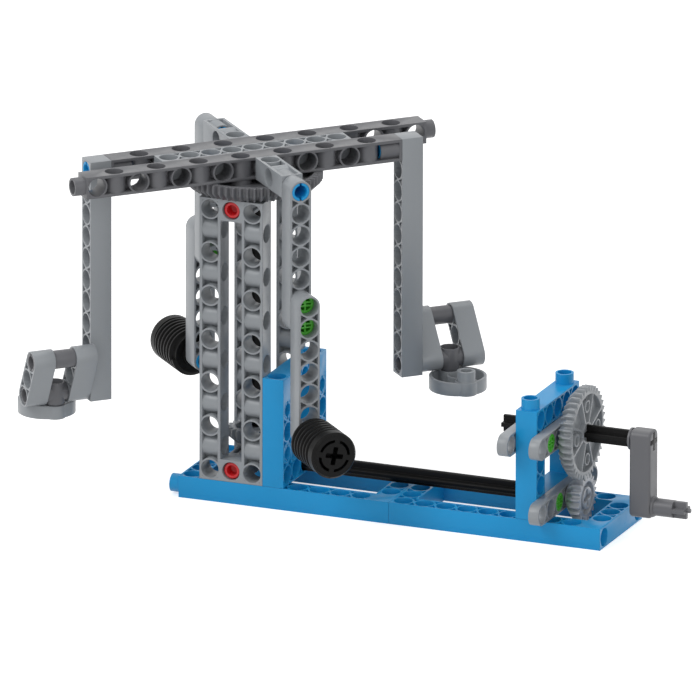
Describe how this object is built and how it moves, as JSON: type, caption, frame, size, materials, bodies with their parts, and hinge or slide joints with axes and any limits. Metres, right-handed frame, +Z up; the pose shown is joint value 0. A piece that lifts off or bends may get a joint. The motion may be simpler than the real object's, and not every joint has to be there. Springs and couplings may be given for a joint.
{
  "type": "hand-cranked carousel demonstrator",
  "caption": "Tower carousel built from peg-and-hole bars: a crank turns a geared shaft along the base, which spins arms carrying hanging seats and swinging weights.",
  "frame": {"origin": "axis of the base's front left corner pin hole, at the underside of the base", "axes": "+X along the base towards the crank, +Y from the front of the base to its back, +Z up"},
  "size_m": [0.2979, 0.1561, 0.1573],
  "materials": {
    "blue_plastic": "satin",
    "light_grey_plastic": "satin",
    "dark_grey_plastic": "satin",
    "black_plastic": "satin",
    "green_plastic": "satin",
    "red_plastic": "satin"
  },
  "bodies": {
    "base": {"base_frame_left": "blue_plastic", "base_frame_right": "blue_plastic", "crank_frame": "blue_plastic", "crank_frame_dowels": "blue_plastic", "tower_side_frame": "blue_plastic", "tower_front_frame": "light_grey_plastic", "tower_rear_frame": "light_grey_plastic", "tower_bottom_spacer": "light_grey_plastic", "tower_top_spacer": "light_grey_plastic", "tower_red_pins": "red_plastic", "tower_side_pins": "blue_plastic", "lower_bearing_rod": "light_grey_plastic", "upper_bearing_rod": "light_grey_plastic", "inner_bearing_rod": "light_grey_plastic", "bearing_rod_pins": "green_plastic"},
    "drive": {"drive_shaft": "black_plastic", "drive_bevel_gear": "light_grey_plastic", "drive_spur_gear": "light_grey_plastic"},
    "crank": {"crank_axle": "black_plastic", "crank_gear": "light_grey_plastic", "crank_arm": "dark_grey_plastic"},
    "carousel": {"carousel_axle": "black_plastic", "carousel_bevel_gear": "light_grey_plastic", "carousel_gear": "dark_grey_plastic", "carousel_gear_pins": "blue_plastic", "main_arm_front": "dark_grey_plastic", "main_arm_rear": "dark_grey_plastic", "middle_rod": "light_grey_plastic", "cross_arm_front": "light_grey_plastic", "cross_arm_rear": "light_grey_plastic", "hanger_pin_left": "blue_plastic", "hanger_pin_right": "blue_plastic", "weight_rod_pin_front": "blue_plastic", "weight_rod_pin_rear": "blue_plastic"},
    "left_hanger": {"hanger_left": "light_grey_plastic", "seat_connector_left": "dark_grey_plastic", "seat_disc_left": "light_grey_plastic"},
    "left_seat": {"seat_back_left": "light_grey_plastic", "seat_back_pin_left": "dark_grey_plastic"},
    "right_hanger": {"hanger_right": "light_grey_plastic", "seat_connector_right": "dark_grey_plastic", "seat_disc_right": "light_grey_plastic"},
    "right_seat": {"seat_back_right": "light_grey_plastic", "seat_back_pin_right": "dark_grey_plastic"},
    "front_weight": {"upper_weight_rod_front": "light_grey_plastic", "lower_weight_rod_front": "light_grey_plastic", "weight_rod_dowels_front": "green_plastic", "weight_front": "black_plastic", "weight_pin_front": "blue_plastic"},
    "rear_weight": {"upper_weight_rod_rear": "light_grey_plastic", "lower_weight_rod_rear": "light_grey_plastic", "weight_rod_dowels_rear": "green_plastic", "weight_rear": "black_plastic", "weight_pin_rear": "blue_plastic"}
  },
  "joints": [
    {"name": "carousel_spin", "type": "hinge", "parent": "base", "child": "carousel", "pos_m": [0.02, 0.02, 0.1], "axis": [0, 0, 1], "continuous": true},
    {"name": "drive_shaft_spin", "type": "hinge", "parent": "base", "child": "drive", "pos_m": [0.1, 0.02, 0.01495], "axis": [1, 0, 0], "continuous": true},
    {"name": "crank_spin", "type": "hinge", "parent": "base", "child": "crank", "pos_m": [0.175, 0.02, 0.04495], "axis": [1, 0, 0], "continuous": true},
    {"name": "right_hanger_swing", "type": "hinge", "parent": "carousel", "child": "right_hanger", "pos_m": [0.07657, 0.06243, 0.15235], "axis": [0.7071, 0.7071, 0], "range_deg": [-35, 35]},
    {"name": "right_seat_tilt", "type": "hinge", "parent": "right_hanger", "child": "right_seat", "pos_m": [0.09071, 0.07657, 0.05235], "axis": [0.7071, 0.7071, 0], "range_deg": [-35, 40]},
    {"name": "left_hanger_swing", "type": "hinge", "parent": "carousel", "child": "left_hanger", "pos_m": [-0.03657, -0.02243, 0.15235], "axis": [-0.7071, -0.7071, 0], "range_deg": [-35, 35]},
    {"name": "left_seat_tilt", "type": "hinge", "parent": "left_hanger", "child": "left_seat", "pos_m": [-0.05071, -0.03657, 0.05235], "axis": [-0.7071, -0.7071, 0], "range_deg": [-35, 40]},
    {"name": "front_weight_swing", "type": "hinge", "parent": "carousel", "child": "front_weight", "pos_m": [0.05536, -0.01536, 0.15235], "axis": [0.7071, -0.7071, 0], "range_deg": [-45, 45]},
    {"name": "rear_weight_swing", "type": "hinge", "parent": "carousel", "child": "rear_weight", "pos_m": [-0.01536, 0.05536, 0.15235], "axis": [-0.7071, 0.7071, 0], "range_deg": [-45, 45]}
  ],
  "couplings": [
    {"joint": "drive_shaft_spin", "follows": "carousel_spin", "ratio": -1},
    {"joint": "crank_spin", "follows": "carousel_spin", "ratio": 0.5}
  ]
}
